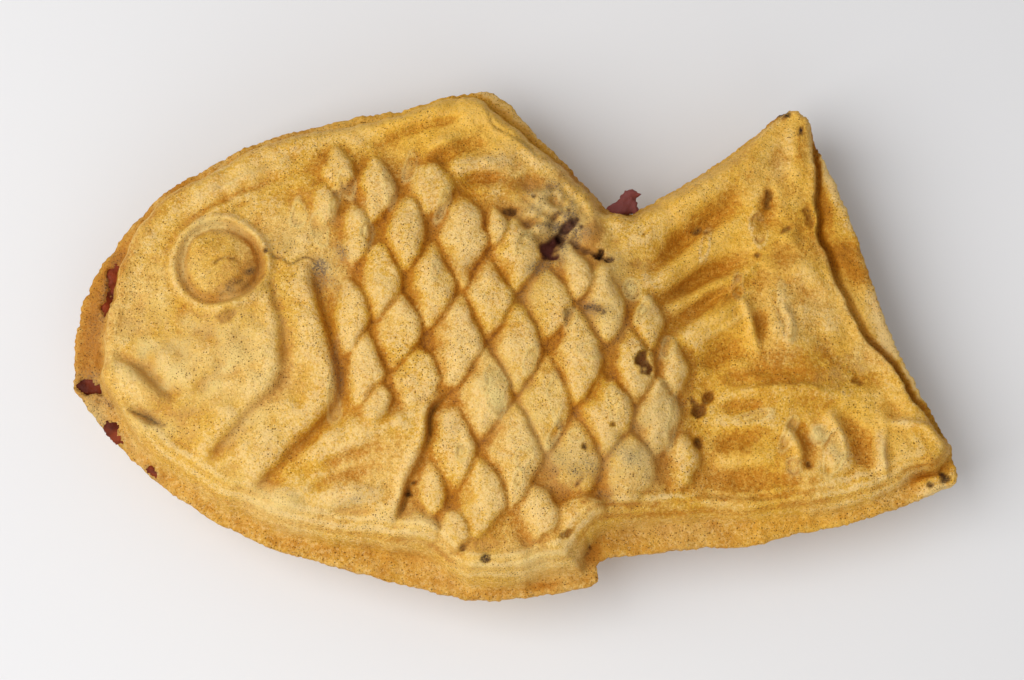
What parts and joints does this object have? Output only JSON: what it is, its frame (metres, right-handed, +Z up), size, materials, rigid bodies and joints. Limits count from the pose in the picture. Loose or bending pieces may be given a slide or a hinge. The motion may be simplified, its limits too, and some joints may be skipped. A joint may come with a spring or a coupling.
{
  "type": "taiyaki",
  "caption": "Fish-shaped griddle cake filled with sweet bean paste, lying on its side, with moulded scales, fins, eye and tail rays.",
  "frame": {"origin": "middle of the bounding box on the table under the cake", "axes": "+X towards the tail, +Y towards the back of the fish, +Z up from the table"},
  "size_m": [0.15, 0.0878, 0.0266],
  "materials": {
    "griddled_batter": "golden brown baked batter, toasted darker in the grooves, with a soft sheen",
    "bean_paste": "dark red moist bean paste"
  },
  "bodies": {
    "root": {"cake": "griddled_batter", "bean_filling": "bean_paste"}
  },
  "joints": []
}
